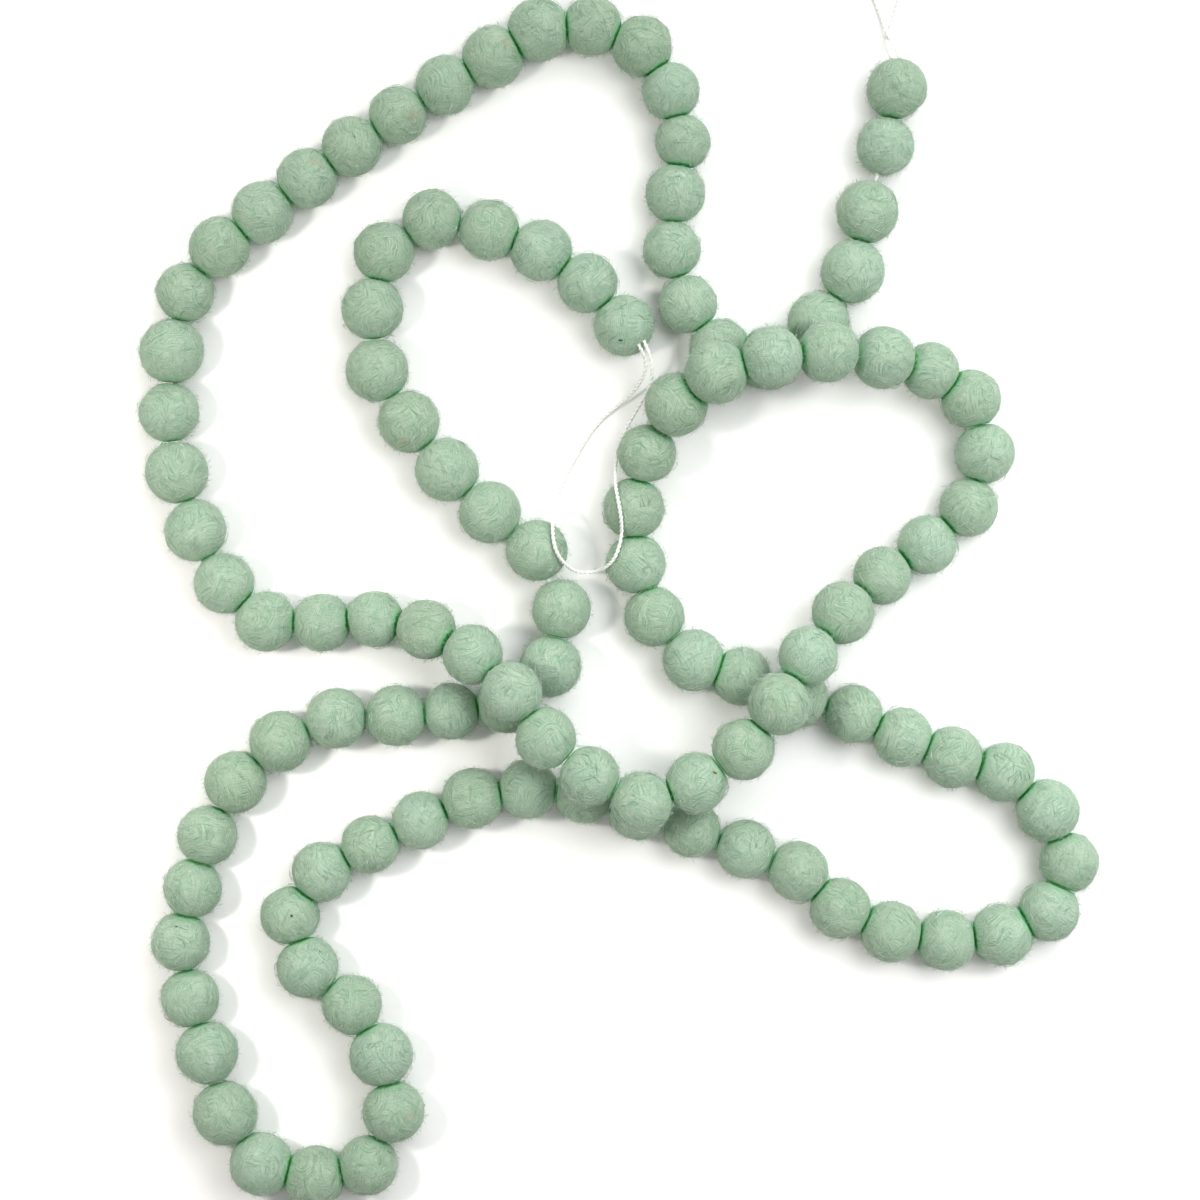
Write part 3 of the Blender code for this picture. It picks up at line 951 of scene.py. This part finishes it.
def wisp_tree(material):
    """Geometry Nodes that scatter bent fibres over a ball's skin, lying along its winding."""
    tree = bpy.data.node_groups.new("loose_wool", "GeometryNodeTree")
    tree.interface.new_socket("Balls", in_out="INPUT", socket_type="NodeSocketGeometry")
    tree.interface.new_socket("Seed", in_out="INPUT", socket_type="NodeSocketInt")
    for wisp in WISPS:
        for size in ("per area", "radius"):
            tree.interface.new_socket(
                f"{wisp.name} {size}", in_out="INPUT", socket_type="NodeSocketFloat"
            )
    tree.interface.new_socket("Woolly balls", in_out="OUTPUT", socket_type="NodeSocketGeometry")
    given = add_node(tree, "NodeGroupInput")
    loose = add_node(
        tree, "GeometryNodeInputNamedAttribute", {"Name": "wool_loose"}, data_type="FLOAT"
    )
    winding = add_node(
        tree, "GeometryNodeInputNamedAttribute", {"Name": "wool_winding"}, data_type="FLOAT_VECTOR"
    )
    joined = add_node(tree, "GeometryNodeJoinGeometry")
    for order, wisp in enumerate(WISPS):
        seed = add_node(
            tree,
            "ShaderNodeMath",
            {0: given.outputs["Seed"], 1: order * WISP_SEEDS_APART},
            operation="ADD",
        ).outputs[0]
        density = add_node(
            tree,
            "ShaderNodeMath",
            {0: given.outputs[f"{wisp.name} per area"], 1: loose.outputs[0]},
            operation="MULTIPLY",
        )
        roots = add_node(
            tree,
            "GeometryNodeDistributePointsOnFaces",
            {"Mesh": given.outputs["Balls"], "Density": density.outputs[0], "Seed": seed},
            distribute_method="RANDOM",
        )
        line = add_node(
            tree,
            "GeometryNodeCurveQuadraticBezier",
            {
                "Resolution": WISP_SAMPLES,
                "Start": (0, 0, -WISP_ROOT),
                "Middle": Vector(wisp.bend) * MM,
                "End": Vector(wisp.tip) * MM,
            },
        )
        bent = add_node(
            tree, "GeometryNodeResampleCurve", {0: line.outputs[0], "Count": wisp.segments + 1}
        )
        along = add_node(tree, "GeometryNodeSplineParameter")
        half_turn = add_node(
            tree, "ShaderNodeMath", {0: along.outputs["Factor"], 1: math.pi}, operation="MULTIPLY"
        )
        girth = add_node(tree, "ShaderNodeMath", {0: half_turn.outputs[0]}, operation="SINE")
        profile = add_node(
            tree,
            "GeometryNodeCurvePrimitiveCircle",
            {"Resolution": 3, "Radius": given.outputs[f"{wisp.name} radius"]},
        )
        spindle = add_node(
            tree,
            "GeometryNodeCurveToMesh",
            {0: bent.outputs[0], 1: profile.outputs[0], "Scale": girth.outputs[0]},
        )
        # both ends of the spindle close to a point
        fibre = add_node(
            tree, "GeometryNodeMergeByDistance", {0: spindle.outputs[0], "Distance": POINTED_WITHIN}
        )
        dyed = add_node(
            tree, "GeometryNodeSetMaterial", {"Geometry": fibre.outputs[0], "Material": material}
        )
        laid = add_node(
            tree,
            "FunctionNodeAlignRotationToVector",
            {"Rotation": roots.outputs["Rotation"], "Vector": winding.outputs[0]},
            axis="X",
            pivot_axis="Z",
        )
        splay = add_node(
            tree,
            "FunctionNodeRandomValue",
            {
                0: (-WISP_ROLL, -WISP_TILT, -wisp.splay),
                1: (WISP_ROLL, WISP_TILT, wisp.splay),
                "Seed": seed,
            },
            data_type="FLOAT_VECTOR",
        )
        splayed = add_node(
            tree,
            "FunctionNodeRotateRotation",
            {"Rotation": laid.outputs[0], "Rotate By": splay.outputs[0]},
            rotation_space="LOCAL",
        )
        picked = add_node(
            tree,
            "FunctionNodeRandomValue",
            {
                0: (wisp.long[0], 1.0, wisp.proud[0]),
                1: (wisp.long[1], 1.0, wisp.proud[1]),
                "Seed": seed,
            },
            data_type="FLOAT_VECTOR",
        )
        # the ball curves away by the square of the length
        sizes = add_node(tree, "ShaderNodeSeparateXYZ", {0: picked.outputs[0]})
        squared = add_node(
            tree, "ShaderNodeMath", {0: sizes.outputs[0], 1: 2}, operation="POWER"
        )
        off_ball = add_node(
            tree, "ShaderNodeMath", {0: squared.outputs[0], 1: sizes.outputs[2]}, operation="MULTIPLY"
        )
        size = add_node(
            tree,
            "ShaderNodeCombineXYZ",
            {0: sizes.outputs[0], 1: sizes.outputs[1], 2: off_ball.outputs[0]},
        )
        scattered = add_node(
            tree,
            "GeometryNodeInstanceOnPoints",
            {
                "Points": roots.outputs["Points"],
                "Instance": dyed.outputs["Geometry"],
                "Rotation": splayed.outputs[0],
                "Scale": size.outputs[0],
            },
        )
        shade = add_node(
            tree,
            "FunctionNodeRandomValue",
            {2: wisp.shades[0], 3: wisp.shades[1], "Seed": seed},
            data_type="FLOAT",
        )
        shaded = add_node(
            tree,
            "GeometryNodeStoreNamedAttribute",
            {0: scattered.outputs[0], "Name": "wisp_shade", "Value": shade.outputs[1]},
            data_type="FLOAT",
            domain="INSTANCE",
        )
        real = add_node(tree, "GeometryNodeRealizeInstances", {0: shaded.outputs[0]})
        smooth = add_node(tree, "GeometryNodeSetShadeSmooth", {0: real.outputs[0]})
        tree.links.new(smooth.outputs[0], joined.inputs[0])
    tree.links.new(given.outputs["Balls"], joined.inputs[0])
    add_node(tree, "NodeGroupOutput", {0: joined.outputs[0]})
    return tree


def tease_wool(piece, tree, seed):
    """Gives the balls their loose wool, and leaves them a plain mesh."""
    modifier = piece.modifiers.new("loose_wool", "NODES")
    modifier.node_group = tree
    inputs = {
        item.name: item.identifier
        for item in tree.interface.items_tree
        if item.item_type == "SOCKET" and item.in_out == "INPUT"
    }
    modifier[inputs["Seed"]] = seed
    for wisp in WISPS:
        modifier[inputs[f"{wisp.name} per area"]] = wisp.per_ball / BALL_AREA
        modifier[inputs[f"{wisp.name} radius"]] = wisp.radius * MM
    bpy.context.view_layer.update()
    evaluated = piece.evaluated_get(bpy.context.evaluated_depsgraph_get())
    woolly = bpy.data.meshes.new_from_object(evaluated)
    points = np.empty(3 * len(woolly.vertices), dtype=np.float32)
    woolly.vertices.foreach_get("co", points)
    heights = points[2::3]
    # fibres that reach the floor lie along it
    heights[:] = np.where(heights < 0, FIBRE_ON_FLOOR * np.exp(heights / MM), heights)
    woolly.vertices.foreach_set("co", points)
    piece.modifiers.remove(modifier)
    piece.data = woolly


wool = felted_wool()
loose_wool = wisp_tree(teased_wool())
for first in range(0, len(radii), BALLS_PER_SOLID):
    last = min(first + BALLS_PER_SOLID, len(radii)) - 1
    node = f"felt_balls_{first + 1:03d}_{last + 1:03d}"
    balls = felt_balls(node, first, last, wool)
    tease_wool(balls, loose_wool, WISP_SEED + first)
    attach(balls, "root")
    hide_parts(node)

# ---------------------------------------------------------------------------------------------
# Bits in the wool. Carding left a husk and some seed specks, felted in at the skin: each is a small
# grain that lies flush with its ball.
# By the end loop the needle left a hole, drawn as a dark grain too: painted shade of the hole.

# right, up, long and wide are in mm and turn in degrees, all as seen from above; shade runs from
# 0, black, to 1, straw.
Bit = namedtuple("Bit", "ball right up long wide turn shade")
BITS = (
    Bit(38, 6.0, 3.7, 1.9, 0.8, 40, 1.0),
    Bit(38, 6.3, 3.6, 0.9, 0.6, 40, 0.1),
    Bit(82, 1.7, 1.0, 0.9, 0.8, 0, 0.0),
    Bit(83, 4.7, 6.2, 0.8, 0.5, 0, 0.0),
    Bit(93, -0.3, 6.0, 0.8, 0.5, 60, 0.0),
    # the needle hole: a dark grain as painted shade inside the hole
    Bit(115, -1.3, -5.7, 1.6, 0.9, 10, 0.3),
)
MOTTLE_SIZE = 0.4 * MM
MOTTLE = 0.3
GRAIN_ROUNDS = 2


def husk_seed_and_hole_shade():
    """Dried husk and seed, and the painted shade of the needle hole: dull, from near black to straw,
    and mottled.
    """
    material, tree = new_material("dried_husk_and_seed")
    place = add_node(tree, "ShaderNodeTexCoord").outputs["Object"]
    shade = add_node(tree, "ShaderNodeAttribute", attribute_name="husk_shade").outputs["Fac"]
    mottle = add_node(tree, "ShaderNodeTexNoise", {"Vector": place, "Scale": 1 / MOTTLE_SIZE})
    mottled = add_node(
        tree, "ShaderNodeMath", {0: mottle.outputs[0], 1: MOTTLE, 2: shade}, operation="MULTIPLY_ADD"
    )
    ramp = add_node(tree, "ShaderNodeValToRGB", {0: mottled.outputs[0]})
    ramp.color_ramp.elements[0].color = linear("141A12")
    ramp.color_ramp.elements[1].color = linear("7A6428")
    middle_tone = ramp.color_ramp.elements.new(0.6)
    middle_tone.color = linear("1F5A33")
    shader = add_node(
        tree,
        "ShaderNodeBsdfPrincipled",
        {"Base Color": ramp.outputs[0], "Roughness": 0.7, "Specular IOR Level": 0.3},
    )
    add_node(tree, "ShaderNodeOutputMaterial", {"Surface": shader.outputs[0]})
    return material


mesh = bmesh.new()
husk_shade = mesh.verts.layers.float.new("husk_shade")
for bit in BITS:
    radius = radii[bit.ball - 1]
    outward = Vector(seen_from_above(bit.right, bit.up, radius))
    size = Vector((bit.long / 2, bit.wide / 2, bit.wide / 4)) * MM
    spot = Vector(middles[bit.ball - 1]) + outward * radius * SKIN
    facing = outward.to_track_quat("Z", "Y") @ Quaternion((0, 0, 1), math.radians(bit.turn))
    grain = Matrix.LocRotScale(spot, facing, size)
    made = bmesh.ops.create_icosphere(mesh, subdivisions=GRAIN_ROUNDS, radius=1, matrix=grain)
    for point in made["verts"]:
        point[husk_shade] = bit.shade
data = bpy.data.meshes.new("bits_in_the_wool")
mesh.to_mesh(data)
mesh.free()
data.shade_smooth()
data.materials.append(husk_seed_and_hole_shade())
bits = bpy.data.objects.new(data.name, data)
bpy.context.scene.collection.objects.link(bits)
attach(bits, "root")

# ---------------------------------------------------------------------------------------------
# Paper and light. The garland lies on white card, in a bright white room, with a small lamp on
# the left, a softbox with a grid on the right, and large softboxes behind and overhead.

PAPER_SIZE = 6.0
PAPER_BELOW = 0.02 * MM  # the balls' flats lie on the paper without meeting it
PAPER_GRAIN = 2 * MM


def white_paper():
    """Matt coated card: an even bright white."""
    material, tree = new_material("matt_white_card")
    place = add_node(tree, "ShaderNodeTexCoord").outputs["Object"]
    grain = add_node(
        tree, "ShaderNodeTexNoise", {"Vector": place, "Scale": 1 / PAPER_GRAIN, "Detail": 2}
    )
    shade = add_node(
        tree,
        "ShaderNodeMix",
        {0: grain.outputs[0], 6: linear("F4F4F4"), 7: linear("F7F7F7")},
        data_type="RGBA",
    )
    shader = add_node(
        tree,
        "ShaderNodeBsdfPrincipled",
        {"Base Color": shade.outputs[2], "Roughness": 0.9, "Specular IOR Level": 0.0},
    )
    add_node(tree, "ShaderNodeOutputMaterial", {"Surface": shader.outputs[0]})
    return material


paper_mesh = bpy.data.meshes.new("white_paper")
half = PAPER_SIZE / 2
paper_mesh.from_pydata(
    [(-half, -half, 0), (half, -half, 0), (half, half, 0), (-half, half, 0)], [], [(0, 1, 2, 3)]
)
paper_mesh.materials.append(white_paper())
paper = bpy.data.objects.new("white_paper", paper_mesh)
paper.location.z = -PAPER_BELOW
bpy.context.scene.collection.objects.link(paper)

# Each lamp hangs at its place and looks at its target; a grid narrows what some of them reach.
Lamp = namedtuple("Lamp", "name place target size grid_degrees power colour")
LAMPS = (
    Lamp("small_lamp_left", (-0.365, 0, 0.5), (-0.2, -0.02, 0), 0.075, 100, 0.62, "FFFAF4"),
    Lamp("softbox_right", (0.39, 0.06, 0.44), (0.17, -0.05, 0), 0.5, 75, 0.8, "FFFFFF"),
    Lamp("softbox_behind", (0.2, 1.0, 0.6), (0, 0, 0), 1.0, 180, 7.4, "FFFFFF"),
    Lamp("softbox_overhead", (0.32, 0.55, 1.25), (0.08, 0.1, 0), 1.2, 180, 5.5, "FFFFFF"),
)
ROOM_LIGHT = 0.34

for lamp in LAMPS:
    light = bpy.data.lights.new(lamp.name, "AREA")
    light.size = lamp.size
    light.spread = math.radians(lamp.grid_degrees)
    light.energy = lamp.power
    light.color = linear(lamp.colour)[:3]
    placed = bpy.data.objects.new(lamp.name, light)
    placed.location = lamp.place
    placed.rotation_mode = "QUATERNION"
    placed.rotation_quaternion = (Vector(lamp.target) - Vector(lamp.place)).to_track_quat("-Z", "Y")
    bpy.context.scene.collection.objects.link(placed)

room = bpy.data.worlds.new("white_room")
room.use_nodes = True
room.node_tree.nodes["Background"].inputs["Color"].default_value = linear("FFFDF8")
room.node_tree.nodes["Background"].inputs["Strength"].default_value = ROOM_LIGHT
bpy.context.scene.world = room
